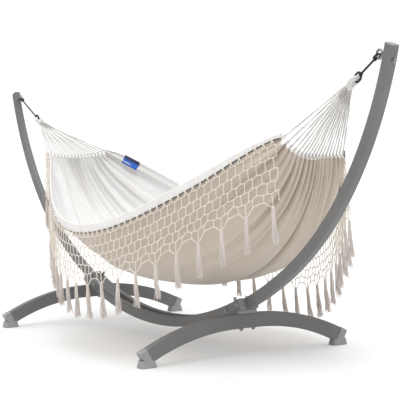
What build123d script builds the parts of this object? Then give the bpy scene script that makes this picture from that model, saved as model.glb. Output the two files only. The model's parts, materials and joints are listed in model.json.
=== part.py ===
from build123d import *

import os
from math import asin, atan2, cos, degrees, log, pi, radians, sin, sqrt, tan

# Hammock on a free-standing arch stand.
# Millimetres, +Z up. The origin is on the floor under the middle of the arch, +X runs along the
# stand to its right arm, -Y is the front.

# ---- Arch: the centreline of the beams and arms, a large radius that tightens up each arm ----
LOWER_RADIUS = 2449.0
UPPER_RADIUS = 1671.0
ARCH_LOW_HEIGHT = 91.0
RADIUS_CHANGE_ANGLE = 30.65
ARM_TIP_ANGLE = 73.0
ARM_INNER_ANGLE = 13.0
BEAM_END_ANGLE = 20.9

# ---- Steel tubes ----
TUBE_DEPTH = 55.0
ARM_WIDTH = 35.0
BEAM_WIDTH = 32.0
TUBE_WALL = 2.0
TUBE_CORNER = 5.0
FOOT_WIDTH = 42.0
FOOT_DEPTH = 70.0
FOOT_X = 845.0
FOOT_TOP_RADIUS = 1090.0
FOOT_FLAT_HALF = 50.0
FOOT_TUBE_HALF = 572.0
SADDLE_MIN = 1.0
SADDLE_HALF = 51.0

# ---- Plastic caps ----
CAP_PLATE = 4.0
CAP_PLUG = 12.0
FIT_CLEARANCE = 0.2
SLEEVE_WALL = 2.5
SLEEVE_LENGTH = 33.0
PAD_LENGTH = 84.0
PAD_WIDTH = 62.0
PAD_HEIGHT = 34.0
PAD_TAPER = 14.0
PAD_RIM = 6.0

# ---- Fasteners ----
JOINT_BOLT = 10.0
JOINT_BOLT_FROM_END = 22.0
JOINT_BOLT_SPACING = 110.0
FOOT_BOLT = 8.0
HOLE_CLEARANCE = 0.5
SEAT_GAP = 0.1
WASHER_THICKNESS = 2.0
WING_THICKNESS = 3.2
WING_TURN = 35.0
EYE_BOLT = 10.0
EYE_WIRE = 10.0
EYE_INNER = 26.0
EYE_REACH = 38.0
EYE_FROM_TIP = 57.0

# ---- Rope, wrapped eye and clew cords ----
ROPE = 8.0
KNOT = 17.0
TOP_LOOP = 34.0
TOP_LOOP_WIDTH = 27.0
LOW_LOOP = 46.0
LOW_LOOP_WIDTH = 33.0
LOOP_LINK = 28.0
WRAPPED_CORD = 22.0
WRAPPED_EYE_LENGTH = 56.0
WRAPPED_EYE_WIDTH = 54.0
WHIPPING_LENGTH = 22.0
WHIPPING_WIDTH = 36.0
CLEW_CORD = 4.0
CLEW_ROWS = 3
CLEW_COLUMNS = 6
CLEW_PITCH = 5.4
APEX_RIGHT = (1705.0, 1230.0)
APEX_LEFT = (-1575.0, 1176.0)

# ---- Cloth: two rims and a keel between two gathered ends ----
CLOTH_LEFT_X = -1045.0
CLOTH_RIGHT_X = 1440.0
END_HALF_LEFT = 197.0
END_HALF_RIGHT = 164.0
FRONT_SPREAD = 440.0
REAR_SPREAD = 400.0
FRONT_END_Z = (997.0, 1044.0)
REAR_END_Z = (994.0, 962.0)
KEEL_END_Z = (964.0, 948.0)
FRONT_SAG = 386.0
REAR_SAG = 447.0
KEEL_SAG = 650.0
SPREAD_POWER = 1.16
RIM_SAG_POWER = 1.38
KEEL_SAG_POWER = 0.55
KEEL_END_SOFTNESS = 0.04
SECTION_POWER = 2.6
RIM_LOW_AT = 0.56
KEEL_LOW_AT = 0.53
KEEL_Y = 95.0
CLOTH_THICKNESS = 3.0
HEM_WIDTH = 38.0
HEM_THICKNESS = 2.0
HEM_GAP = 0.8
LABEL_SIZE = (125.0, 52.0)
LABEL_THICKNESS = 1.0
LABEL_AT = 0.09
LABEL_DOWN = 0.04
LABEL_GAP = 1.5

# ---- How closely the soft shells are sampled ----
CLOTH_STATIONS = 19
CLOTH_ACROSS = 17
EDGE_STATIONS = 15
HEM_LEVELS = 3
NET_LEVELS = 4
RIM_STEPS = 201
NORMAL_STEP = 0.002

# ---- Knotted fringe ----
NET_DEPTH = 292.0
NET_THICKNESS = 3.0
NET_STAND_OFF = 5.0
TASSEL_COUNT = 22
TASSEL_LENGTH = 158.0
TASSEL_TOP = 10.0
TASSEL_FOOT = 26.0
TASSEL_INSET = 0.022

# ---- Values that follow from the sizes above ----
LOWER_CENTRE = (0.0, ARCH_LOW_HEIGHT + LOWER_RADIUS)
BEAM_Y = (ARM_WIDTH + BEAM_WIDTH) / 2
STACK_HALF = ARM_WIDTH / 2 + BEAM_WIDTH
UNDERSIDE_RADIUS = LOWER_RADIUS + TUBE_DEPTH / 2
INNER_EDGE_X = FOOT_X - FOOT_WIDTH / 2
FOOT_TOP = LOWER_CENTRE[1] - sqrt(UNDERSIDE_RADIUS**2 - INNER_EDGE_X**2) - SADDLE_MIN
FOOT_BOTTOM = FOOT_TOP - FOOT_DEPTH
FOOT_ARC = degrees(asin((FOOT_TUBE_HALF - FOOT_FLAT_HALF) / FOOT_TOP_RADIUS))
FOOT_BOLT_ANGLE = degrees(atan2(FOOT_X, LOWER_CENTRE[1] - FOOT_TOP + FOOT_DEPTH / 2))
EYE_ANGLE = ARM_TIP_ANGLE - degrees(EYE_FROM_TIP / UPPER_RADIUS)
OUTER_BOLT_ANGLE = BEAM_END_ANGLE - degrees(JOINT_BOLT_FROM_END / LOWER_RADIUS)
INNER_BOLT_ANGLE = OUTER_BOLT_ANGLE - degrees(JOINT_BOLT_SPACING / LOWER_RADIUS)
JOINT_BOLT_ANGLES = (INNER_BOLT_ANGLE, OUTER_BOLT_ANGLE)

nodes = {}


def keep(name, shape):
    """Store one finished sub-part under its node name."""
    shape.label = name
    nodes[name] = shape


def keep_pair(name, shape):
    """Store a right-hand sub-part and its mirror image for the left."""
    keep(name + "_right", shape)
    keep(name + "_left", mirror(shape, Plane.YZ))


# ---- Arch geometry ----

def arch_point(angle, inward=0.0):
    """(x, z) on the arch's centreline, or that far inside it, at an angle from the bottom."""
    change = radians(RADIUS_CHANGE_ANGLE)
    turn = radians(angle)
    low = min(turn, change)
    x = LOWER_RADIUS * sin(low)
    z = ARCH_LOW_HEIGHT + LOWER_RADIUS * (1 - cos(low))
    if turn > change:
        x += UPPER_RADIUS * (sin(turn) - sin(change))
        z += UPPER_RADIUS * (cos(change) - cos(turn))
    return x - inward * sin(turn), z + inward * cos(turn)


def arch_plane(angle, y=0.0, inward=0.0):
    """Plane across the arch: x along Y, y pointing inward, normal along the arch."""
    x, z = arch_point(angle, inward)
    turn = radians(angle)
    return Plane(origin=(x, y, z), x_dir=(0, 1, 0), z_dir=(cos(turn), 0, sin(turn)))


def radial_plane(angle, y=0.0, inward=0.0):
    """Plane whose normal points inward across the arch, for bolts through its depth."""
    x, z = arch_point(angle, inward)
    turn = radians(angle)
    return Plane(origin=(x, y, z), x_dir=(0, 1, 0), z_dir=(-sin(turn), 0, cos(turn)))


def rounded(width, depth, corner):
    """Rounded rectangle whose corner always fits its sides."""
    return RectangleRounded(width, depth, min(corner, 0.45 * width, 0.45 * depth))


def tube_section(width, depth):
    """Cross-section of a rectangular steel tube."""
    bore = rounded(width - 2 * TUBE_WALL, depth - 2 * TUBE_WALL, TUBE_CORNER - TUBE_WALL)
    return rounded(width, depth, TUBE_CORNER) - bore


def lower_run(section, start, end, y=0.0):
    """A section bent along the large radius from one angle to another."""
    axis = Axis((0, y, LOWER_CENTRE[1]), (0, -1, 0))
    return revolve(arch_plane(start, y) * section, axis, revolution_arc=end - start)


def upper_run(section, start, end):
    """A section bent along the arm's tighter radius."""
    x, z = arch_point(RADIUS_CHANGE_ANGLE, UPPER_RADIUS)
    return revolve(arch_plane(start) * section, Axis((x, 0, z), (0, -1, 0)), revolution_arc=end - start)


def cross_hole(angle, diameter):
    """A pin along Y through the whole stack of tubes at one angle of the arch."""
    x, z = arch_point(angle)
    return Location((x, 0, z), (90, 0, 0)) * Cylinder(diameter / 2, 4 * STACK_HALF)


def radial_hole(angle, y, diameter, length):
    """A pin through the arch's depth at one angle."""
    return radial_plane(angle, y) * Cylinder(diameter / 2, length)


# ---- Arms and beams ----

def make_arms():
    section = tube_section(ARM_WIDTH, TUBE_DEPTH)
    arm = lower_run(section, ARM_INNER_ANGLE, RADIUS_CHANGE_ANGLE)
    arm += upper_run(section, RADIUS_CHANGE_ANGLE, ARM_TIP_ANGLE)
    for angle in JOINT_BOLT_ANGLES:
        arm -= cross_hole(angle, JOINT_BOLT + HOLE_CLEARANCE)
    arm -= radial_hole(EYE_ANGLE, 0, EYE_BOLT + HOLE_CLEARANCE, 2 * TUBE_DEPTH)
    keep_pair("arm", arm)


def make_beams():
    section = tube_section(BEAM_WIDTH, TUBE_DEPTH)
    for name, y in (("beam_front", -BEAM_Y), ("beam_rear", BEAM_Y)):
        half = lower_run(section, 0, BEAM_END_ANGLE, y)
        for angle in JOINT_BOLT_ANGLES:
            half -= cross_hole(angle, JOINT_BOLT + HOLE_CLEARANCE)
        half -= radial_hole(FOOT_BOLT_ANGLE, y, FOOT_BOLT + HOLE_CLEARANCE, 2 * TUBE_DEPTH)
        keep(name, half + mirror(half, Plane.YZ))


def end_cap(plane, width, outward):
    """A plate over a tube's end with a plug in its bore; outward is +1 or -1 along the plane."""
    plug_width = width - 2 * TUBE_WALL - 2 * FIT_CLEARANCE
    plug_depth = TUBE_DEPTH - 2 * TUBE_WALL - 2 * FIT_CLEARANCE
    plate = extrude(rounded(width, TUBE_DEPTH, TUBE_CORNER), outward * CAP_PLATE)
    outer = plate.edges().group_by(Axis.Z)[-1 if outward > 0 else 0]
    plate = fillet(outer, CAP_PLATE / 2)
    plug = extrude(rounded(plug_width, plug_depth, TUBE_CORNER - TUBE_WALL), -outward * CAP_PLUG)
    return plane * (plate + plug)


def make_caps():
    keep_pair("arm_tip_cap", end_cap(arch_plane(ARM_TIP_ANGLE), ARM_WIDTH, 1))
    keep_pair("arm_base_cap", end_cap(arch_plane(ARM_INNER_ANGLE), ARM_WIDTH, -1))
    for side, y in (("front", -BEAM_Y), ("rear", BEAM_Y)):
        cap = end_cap(arch_plane(BEAM_END_ANGLE, y), BEAM_WIDTH, 1)
        keep_pair("beam_cap_" + side, cap)


# ---- Feet ----

def foot_run(section, start, end):
    """A section bent down the rear half of a foot, between two angles from its flat middle."""
    centre_z = FOOT_TOP - FOOT_TOP_RADIUS
    reach = FOOT_TOP_RADIUS - FOOT_DEPTH / 2
    turn = radians(start)
    origin = (FOOT_X, FOOT_FLAT_HALF + reach * sin(turn), centre_z + reach * cos(turn))
    plane = Plane(origin=origin, x_dir=(1, 0, 0), z_dir=(0, cos(turn), -sin(turn)))
    axis = Axis((FOOT_X, FOOT_FLAT_HALF, centre_z), (-1, 0, 0))
    return revolve(plane * section, axis, revolution_arc=end - start)


def make_feet():
    section = tube_section(FOOT_WIDTH, FOOT_DEPTH)
    middle = Plane(origin=(FOOT_X, 0, FOOT_TOP - FOOT_DEPTH / 2), x_dir=(1, 0, 0), z_dir=(0, 1, 0))
    half = extrude(middle * section, FOOT_FLAT_HALF) + foot_run(section, 0, FOOT_ARC)
    foot = half + mirror(half, Plane.XZ)
    for y in (-BEAM_Y, BEAM_Y):
        foot -= radial_hole(FOOT_BOLT_ANGLE, y, FOOT_BOLT + HOLE_CLEARANCE, 6 * FOOT_DEPTH)
    keep_pair("foot", foot)


def make_foot_caps():
    plate_angle = degrees(CAP_PLATE / FOOT_TOP_RADIUS)
    sleeve_angle = degrees(SLEEVE_LENGTH / FOOT_TOP_RADIUS)
    grow = 2 * (SLEEVE_WALL + FIT_CLEARANCE)
    sleeve = foot_run(rounded(FOOT_WIDTH + grow, FOOT_DEPTH + grow, TUBE_CORNER + SLEEVE_WALL),
                      FOOT_ARC - sleeve_angle, FOOT_ARC + plate_angle)
    seat = rounded(FOOT_WIDTH + 2 * FIT_CLEARANCE, FOOT_DEPTH + 2 * FIT_CLEARANCE, TUBE_CORNER)
    channel = foot_run(seat, FOOT_ARC - 4 * sleeve_angle, FOOT_ARC)
    pad_y = FOOT_TUBE_HALF + CAP_PLATE - PAD_LENGTH / 2
    base = Location((FOOT_X, pad_y, PAD_RIM / 2)) * Box(PAD_WIDTH, PAD_LENGTH, PAD_RIM)
    base = fillet(base.edges().filter_by(Axis.Z), 3 * PAD_RIM)
    shoulder = Location((FOOT_X, pad_y, PAD_RIM)) * rounded(PAD_WIDTH, PAD_LENGTH, 3 * PAD_RIM)
    pad = base + extrude(shoulder, PAD_HEIGHT - PAD_RIM, taper=PAD_TAPER)
    rear = sleeve + pad - channel
    keep_pair("foot_cap_rear", rear)
    keep_pair("foot_cap_front", mirror(rear, Plane.XZ))


def make_saddles():
    """Wedges that seat the sloping underside of the beams on the level top of each foot."""
    height = UNDERSIDE_RADIUS - sqrt(UNDERSIDE_RADIUS**2 - (FOOT_X + FOOT_WIDTH / 2) ** 2)
    height += ARCH_LOW_HEIGHT - FOOT_TOP
    block = Location((FOOT_X, 0, FOOT_TOP + height / 2)) * Box(FOOT_WIDTH, 2 * SADDLE_HALF, height)
    arch = Location((0, 0, LOWER_CENTRE[1]), (90, 0, 0)) * Cylinder(UNDERSIDE_RADIUS, 4 * SADDLE_HALF)
    saddle = block - arch
    for y in (-BEAM_Y, BEAM_Y):
        saddle -= radial_hole(FOOT_BOLT_ANGLE, y, FOOT_BOLT + HOLE_CLEARANCE, 6 * FOOT_DEPTH)
    keep_pair("saddle", saddle)


# ---- Fasteners: shapes are drawn on their own axis, then placed ----

def ring(outer, inner, height):
    """A flat ring standing on the XY plane."""
    return extrude(Circle(outer / 2) - Circle(inner / 2), height)


def domed_head(diameter, height):
    """A low mushroom head on the XY plane."""
    radius = (diameter**2 / 4 + height**2) / (2 * height)
    ball = Location((0, 0, height - radius)) * Sphere(radius)
    return ball & extrude(Circle(diameter / 2), height)


def cap_nut(size, bore):
    """A hexagon nut closed by a dome."""
    body = extrude(RegularPolygon(size * 0.92, 6), 0.8 * size)
    dome = Location((0, 0, 0.8 * size)) * Sphere(0.72 * size)
    dome &= Location((0, 0, 0.8 * size)) * extrude(Circle(size), size)
    blind = extrude(Circle(bore / 2), 1.0 * size)
    return body + dome - blind


def wing_nut(size):
    """A hub with two upright wings."""
    hub = extrude(Circle(0.85 * size), 1.1 * size)
    blade = extrude(Ellipse(0.62 * size, 1.1 * size), WING_THICKNESS / 2, both=True)
    wing = Pos(1.35 * size, 0, 1.45 * size) * Rot(90, 0, 0) * blade
    wing += mirror(wing, Plane.YZ)
    return hub + wing - extrude(Circle(size / 2), 4 * size)


def group(shapes):
    """Identical loose pieces in one node, each its own solid."""
    return Compound(children=[solid for shape in shapes for solid in shape.solids()])


def make_joint_fasteners():
    """Two bolts along Y clamp the beams on each arm; a sleeve keeps the arm from crushing."""
    bolts, washers, nuts, sleeves = [], [], [], []
    grip = 2 * STACK_HALF + 2 * WASHER_THICKNESS
    for angle in JOINT_BOLT_ANGLES:
        x, z = arch_point(angle)
        front = Plane(origin=(x, -STACK_HALF, z), x_dir=(1, 0, 0), z_dir=(0, -1, 0))
        rear = Plane(origin=(x, STACK_HALF, z), x_dir=(1, 0, 0), z_dir=(0, 1, 0))
        seat = front.offset(WASHER_THICKNESS)
        shank = extrude(seat * Circle(JOINT_BOLT / 2), -(grip + 0.9 * JOINT_BOLT))
        bolts.append(shank + seat * domed_head(2.4 * JOINT_BOLT, 0.6 * JOINT_BOLT))
        flat = ring(2.6 * JOINT_BOLT, JOINT_BOLT + HOLE_CLEARANCE, WASHER_THICKNESS)
        washers += [front * flat, rear * flat]
        nuts.append(rear.offset(WASHER_THICKNESS) * cap_nut(JOINT_BOLT, JOINT_BOLT))
        length = ARM_WIDTH - 2 * TUBE_WALL
        tube = ring(1.5 * JOINT_BOLT, JOINT_BOLT + HOLE_CLEARANCE, length)
        sleeves.append(front.offset(length / 2 - STACK_HALF).offset(-length) * tube)
    keep_pair("joint_bolts", group(bolts))
    keep_pair("joint_washers", group(washers))
    keep_pair("joint_nuts", group(nuts))
    keep_pair("joint_sleeves", group(sleeves))


def make_foot_fasteners():
    """Bolts pass up through foot, saddle and beam and take a wing nut on top of the beam."""
    bolts, washers, nuts, wedges = [], [], [], []
    under_depth = (LOWER_CENTRE[1] - FOOT_BOTTOM) / cos(radians(FOOT_BOLT_ANGLE)) - LOWER_RADIUS
    washer_outer = 2.4 * FOOT_BOLT
    drop = washer_outer / 2 * tan(radians(FOOT_BOLT_ANGLE)) + WASHER_THICKNESS
    for y in (-BEAM_Y, BEAM_Y):
        top = radial_plane(FOOT_BOLT_ANGLE, y, TUBE_DEPTH / 2)
        head = radial_plane(FOOT_BOLT_ANGLE, y, -under_depth - drop)
        length = TUBE_DEPTH / 2 + under_depth + drop + WASHER_THICKNESS + 1.3 * FOOT_BOLT
        shank = extrude(head * Circle(FOOT_BOLT / 2), length)
        bolts.append(shank + extrude(head * RegularPolygon(0.95 * FOOT_BOLT, 6), -0.65 * FOOT_BOLT))
        flat = ring(washer_outer, FOOT_BOLT + HOLE_CLEARANCE, WASHER_THICKNESS)
        washers.append(top.offset(FIT_CLEARANCE) * flat)
        seat = top.offset(FIT_CLEARANCE + WASHER_THICKNESS)
        nuts.append(seat * Rot(0, 0, WING_TURN) * wing_nut(FOOT_BOLT))
        wedge = head * ring(washer_outer, FOOT_BOLT + HOLE_CLEARANCE, 3 * drop)
        tube = Location((FOOT_X, y, FOOT_BOTTOM + FOOT_DEPTH / 2))
        wedges.append(wedge - tube * Box(4 * washer_outer, 2 * washer_outer, FOOT_DEPTH))
    keep_pair("foot_bolts", group(bolts))
    keep_pair("foot_washers", group(washers))
    keep_pair("foot_wing_nuts", group(nuts))
    keep_pair("foot_bevel_washers", group(wedges))


def make_eye_bolts():
    inner = radial_plane(EYE_ANGLE, 0, TUBE_DEPTH / 2 + SEAT_GAP)
    outer = radial_plane(EYE_ANGLE, 0, -TUBE_DEPTH / 2)
    ring_radius = (EYE_INNER + EYE_WIRE) / 2
    eye = Location((0, 0, EYE_REACH), (90, 0, 0)) * Torus(ring_radius, EYE_WIRE / 2)
    neck = extrude(Circle(EYE_BOLT / 2), EYE_REACH - ring_radius)
    collar = extrude(Circle(EYE_BOLT), EYE_BOLT / 2)
    length = TUBE_DEPTH + WASHER_THICKNESS + 0.8 * EYE_BOLT
    shank = extrude(Circle(EYE_BOLT / 2), -length)
    keep_pair("eye_bolt", inner * Rot(0, 0, 90) * (eye + neck + collar + shank))
    flat = ring(2.4 * EYE_BOLT, EYE_BOLT + HOLE_CLEARANCE, WASHER_THICKNESS)
    keep_pair("eye_bolt_washer", outer * Rot(180, 0, 0) * flat)
    keep_pair("eye_bolt_nut", outer.offset(-WASHER_THICKNESS) * Rot(180, 0, 0) * cap_nut(EYE_BOLT, EYE_BOLT))


# ---- Rope, wrapped eye and clew at each end, along the line from eye bolt to clew ----

def pull_line(side):
    """Eye-bolt centre, clew apex and the unit direction between them for side +1 or -1."""
    x, z = arch_point(EYE_ANGLE, TUBE_DEPTH / 2 + EYE_REACH)
    apex = APEX_RIGHT if side > 0 else APEX_LEFT
    start = Vector(side * x, 0, z)
    end = Vector(apex[0], 0, apex[1])
    return start, end, (end - start).normalized()


def rope_stations(side):
    """Distances from the eye bolt: top of the run, end of the run, wrapped eye's crown."""
    start, end, _ = pull_line(side)
    crown = (end - start).length - WHIPPING_LENGTH - WRAPPED_EYE_LENGTH
    run_end = crown + LOOP_LINK - LOW_LOOP
    return TOP_LOOP, run_end, crown


def oval_loop(plane, length, width, cord):
    """A closed oval of cord whose near end is on the plane's origin, reaching along its x."""
    straight = length - width
    path = Pos(length / 2, 0) * SlotCenterToCenter(straight, width)
    wire = (plane * path).wire()
    start = wire @ 0
    section = Plane(origin=start, z_dir=wire % 0) * Circle(cord / 2)
    return sweep(section, wire)


def make_rope(side, name):
    start, end, way = pull_line(side)
    top, run_end, crown = rope_stations(side)
    flat = Plane(origin=start, x_dir=way, z_dir=Vector(0, 1, 0).cross(way))
    upright = Plane(origin=start + way * run_end, x_dir=way, z_dir=(0, 1, 0))
    tube = Plane(origin=start + way * (top + KNOT / 2), z_dir=way)
    run = extrude(tube * Circle(ROPE / 2), run_end - top - KNOT)
    keep("rope_" + name, run)
    knots = [Plane(origin=start + way * at, z_dir=way) * Sphere(KNOT / 2) for at in (top, run_end)]
    top_loop = oval_loop(flat, top, TOP_LOOP_WIDTH, ROPE)
    low_loop = oval_loop(upright, LOW_LOOP, LOW_LOOP_WIDTH, ROPE)
    keep("rope_knots_" + name, group(knots))
    keep("rope_loops_" + name, group([top_loop - knots[0], low_loop - knots[1]]))


def make_wrapped_eye(side, name):
    """A cord bundle bent into an eye, with a whipping that gathers the clew cords."""
    start, end, way = pull_line(side)
    _, _, crown = rope_stations(side)
    flat = Plane(origin=start + way * (crown + WRAPPED_CORD / 2), x_dir=way,
                 z_dir=Vector(0, 1, 0).cross(way))
    loop_length = WRAPPED_EYE_LENGTH - WRAPPED_CORD / 2
    eye = oval_loop(flat, loop_length, WRAPPED_EYE_WIDTH - WRAPPED_CORD, WRAPPED_CORD)
    base = Plane(origin=end - way * WHIPPING_LENGTH, z_dir=way)
    eye += extrude(base * Circle(WHIPPING_WIDTH / 2), WHIPPING_LENGTH)
    keep("wrapped_eye_" + name, eye)


def clew_starts(side):
    """Where the cords leave the whipping, in rows from front to rear."""
    _, end, way = pull_line(side)
    up = way.cross(Vector(0, side, 0))
    places = []
    for column in range(CLEW_COLUMNS):
        for row in range(CLEW_ROWS):
            across = (column - (CLEW_COLUMNS - 1) / 2) * CLEW_PITCH
            raised = (row - (CLEW_ROWS - 1) / 2) * CLEW_PITCH
            places.append(end + way * CLEW_CORD / 2 + Vector(0, across, 0) + up * raised)
    return places


def make_clew(side, name):
    """Straight taut cords that fan from the whipping to the cloth's gathered end."""
    places = clew_starts(side)
    s = 1.0 if side > 0 else 0.0
    cords = []
    for index, begin in enumerate(places):
        v = -1 + 2 * (index + 0.5) / len(places)
        finish = Vector(*cloth_point(s, v)) + Vector(side * (FIT_CLEARANCE + CLEW_CORD), 0, 0)
        run = finish - begin
        cords.append(extrude(Plane(origin=begin, z_dir=run) * Circle(CLEW_CORD / 2), run.length))
    keep("clew_cords_" + name, group(cords))


# ---- Cloth ----

def dip(s, low_at, power, soft=0.0):
    """0 at both ends and 1 at the lowest point, a share low_at of the way along."""
    t = s ** (log(0.5) / log(low_at))
    hump = max(4 * t * (1 - t), 0.0)
    return ((hump + soft) ** power - soft**power) / ((1 + soft) ** power - soft**power)


def blend(pair, s):
    return pair[0] + (pair[1] - pair[0]) * s


def rim_point(s, front):
    """A point of the front or rear rim; s runs from the left end, 0, to the right end, 1."""
    spread = FRONT_SPREAD if front else REAR_SPREAD
    ends = FRONT_END_Z if front else REAR_END_Z
    sag = FRONT_SAG if front else REAR_SAG
    x = blend((CLOTH_LEFT_X, CLOTH_RIGHT_X), s)
    half = blend((END_HALF_LEFT, END_HALF_RIGHT), s) + spread * dip(s, RIM_LOW_AT, SPREAD_POWER)
    z = blend(ends, s) - sag * dip(s, RIM_LOW_AT, RIM_SAG_POWER)
    return x, -half if front else half, z


def cloth_point(s, v):
    """A point of the cloth; v runs across it from the front rim, -1, to the rear rim, 1."""
    x, rim_y, rim_z = rim_point(s, v < 0)
    keel_y = KEEL_Y * dip(s, 0.5, 1.0)
    keel_z = blend(KEEL_END_Z, s) - KEEL_SAG * dip(s, KEEL_LOW_AT, KEEL_SAG_POWER, KEEL_END_SOFTNESS)
    y = keel_y + (rim_y - keel_y) * abs(v)
    z = keel_z + (rim_z - keel_z) * abs(v) ** SECTION_POWER
    return x, y, z


def bed_point(s, share):
    """The same surface, with a share from 0 at the front rim to 1 at the rear rim."""
    return cloth_point(s, 2 * share - 1)


def shares(count):
    """Evenly spaced shares from 0 to 1, both ends included."""
    return [index / (count - 1) for index in range(count)]


def sheet(surface, rows, columns, thickness):
    """A thin closed solid around surface(a, b), sampled where rows and columns say."""
    def skin(offset):
        grid = []
        for a in rows:
            grid.append([surface_point(surface, a, b, offset) for b in columns])
        return Face.make_surface_from_array_of_points(grid)

    outer, inner = skin(thickness / 2), skin(-thickness / 2)
    faces = [outer, inner]
    for edge in outer.edges():
        partner = min(inner.edges(), key=lambda other: (other.center() - edge.center()).length)
        faces.append(Face.make_surface_from_curves(edge, partner))
    return Solid(Shell(faces))


def surface_point(surface, a, b, offset):
    """A point that far off the surface along its own normal."""
    more, less = (lambda t: min(t + NORMAL_STEP, 1)), (lambda t: max(t - NORMAL_STEP, 0))
    along = Vector(*surface(more(a), b)) - Vector(*surface(less(a), b))
    across = Vector(*surface(a, more(b))) - Vector(*surface(a, less(b)))
    return Vector(*surface(a, b)) + along.cross(across).normalized() * offset


def make_cloth():
    stations = [0.5 - 0.5 * cos(pi * share) for share in shares(CLOTH_STATIONS)]
    keep("hammock_cloth", sheet(bed_point, stations, shares(CLOTH_ACROSS), CLOTH_THICKNESS))


def outside_rim(s, front, stand_off, drop):
    """A point outside the rim and below it, where hem, net and tassels hang."""
    x, y, z = rim_point(s, front)
    away = -1 if front else 1
    return x, y + away * stand_off, z - drop


def make_hems():
    stand_off = (CLOTH_THICKNESS + HEM_THICKNESS) / 2 + HEM_GAP
    for name, front in (("hem_front", True), ("hem_rear", False)):
        keep(name, sheet(lambda s, share: outside_rim(s, front, stand_off, share * HEM_WIDTH),
                         shares(EDGE_STATIONS), shares(HEM_LEVELS), HEM_THICKNESS))


def make_nets():
    stand_off = NET_STAND_OFF + (CLOTH_THICKNESS + NET_THICKNESS) / 2
    reach = NET_DEPTH - HEM_WIDTH
    for name, front in (("fringe_net_front", True), ("fringe_net_rear", False)):
        keep(name, sheet(lambda s, share: outside_rim(s, front, stand_off, HEM_WIDTH + reach * share),
                         shares(EDGE_STATIONS), shares(NET_LEVELS), NET_THICKNESS))


def tassel_shares(front):
    """Shares of s at which tassels hang, evenly spaced along the rim's own length."""
    steps = shares(RIM_STEPS)
    points = [Vector(*rim_point(s, front)) for s in steps]
    lengths = [0.0]
    for first, second in zip(points, points[1:]):
        lengths.append(lengths[-1] + (second - first).length)
    places = []
    for share in shares(TASSEL_COUNT):
        target = lengths[-1] * (TASSEL_INSET + (1 - 2 * TASSEL_INSET) * share)
        index = next(i for i, length in enumerate(lengths) if length >= target)
        places.append(steps[index])
    return places


def make_tassels():
    stand_off = NET_STAND_OFF + (CLOTH_THICKNESS + NET_THICKNESS) / 2
    for name, front in (("tassels_front", True), ("tassels_rear", False)):
        tassels = []
        for s in tassel_shares(front):
            top = outside_rim(s, front, stand_off, NET_DEPTH + TASSEL_TOP)
            place = Location((top[0], top[1], top[2] - TASSEL_LENGTH / 2))
            tassels.append(place * Cone(TASSEL_FOOT / 2, TASSEL_TOP / 2, TASSEL_LENGTH))
        keep(name, group(tassels))


def make_label():
    """A blank woven tag sewn to the inside of the rear rim."""
    share = 1 - LABEL_DOWN / 2
    lift = (CLOTH_THICKNESS + LABEL_THICKNESS) / 2 + LABEL_GAP
    centre = surface_point(bed_point, LABEL_AT, share, 0)
    inside = surface_point(bed_point, LABEL_AT, share, 1) - centre
    inside *= -1 if inside.Y > 0 else 1
    ahead = Vector(*bed_point(LABEL_AT + NORMAL_STEP, share)) - centre
    plane = Plane(origin=centre + inside * lift, x_dir=ahead, z_dir=inside)
    keep("label", extrude(plane * Rectangle(*LABEL_SIZE), LABEL_THICKNESS / 2, both=True))


make_arms()
make_beams()
make_caps()
make_feet()
make_foot_caps()
make_saddles()
make_joint_fasteners()
make_foot_fasteners()
make_eye_bolts()
for side, name in ((1, "right"), (-1, "left")):
    make_rope(side, name)
    make_wrapped_eye(side, name)
    make_clew(side, name)
make_cloth()
make_hems()
make_nets()
make_tassels()
make_label()

os.makedirs("parts", exist_ok=True)
for name, shape in nodes.items():
    export_step(shape, "parts/" + name + ".step")
print(len(nodes), "nodes")
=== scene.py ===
import json
import math
import random

import bpy
import numpy as np
from mathutils import Matrix, Vector


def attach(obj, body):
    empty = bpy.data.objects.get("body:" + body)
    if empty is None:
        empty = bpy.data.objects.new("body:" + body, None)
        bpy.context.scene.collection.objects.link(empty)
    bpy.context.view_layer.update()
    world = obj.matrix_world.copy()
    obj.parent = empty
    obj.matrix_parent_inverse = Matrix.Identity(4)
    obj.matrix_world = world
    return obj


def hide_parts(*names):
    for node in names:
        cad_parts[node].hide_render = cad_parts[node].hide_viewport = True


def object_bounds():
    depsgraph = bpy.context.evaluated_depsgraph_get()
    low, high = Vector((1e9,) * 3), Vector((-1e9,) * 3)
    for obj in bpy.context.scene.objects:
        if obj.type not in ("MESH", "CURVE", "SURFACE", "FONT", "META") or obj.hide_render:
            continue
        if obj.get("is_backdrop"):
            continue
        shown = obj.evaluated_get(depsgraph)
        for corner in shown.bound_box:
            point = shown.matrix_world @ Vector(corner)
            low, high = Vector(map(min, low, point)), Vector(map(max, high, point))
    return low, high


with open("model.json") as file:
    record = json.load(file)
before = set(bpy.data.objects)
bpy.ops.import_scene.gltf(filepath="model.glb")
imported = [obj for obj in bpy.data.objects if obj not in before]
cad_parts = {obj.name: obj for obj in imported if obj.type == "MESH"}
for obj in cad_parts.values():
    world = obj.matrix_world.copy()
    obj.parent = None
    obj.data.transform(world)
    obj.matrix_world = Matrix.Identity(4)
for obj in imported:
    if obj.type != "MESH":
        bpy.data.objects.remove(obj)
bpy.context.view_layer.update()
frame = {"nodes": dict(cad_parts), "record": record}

nodes = frame["nodes"]

# ---------------------------------------------------------------- camera

CAMERA_AT = (5.983, -3.161, 1.0006)
CAMERA_YAW = 2.6235
CAMERA_PITCH = -0.0421
CAMERA_ROLL = -0.0266
LENS = 114.64

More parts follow.
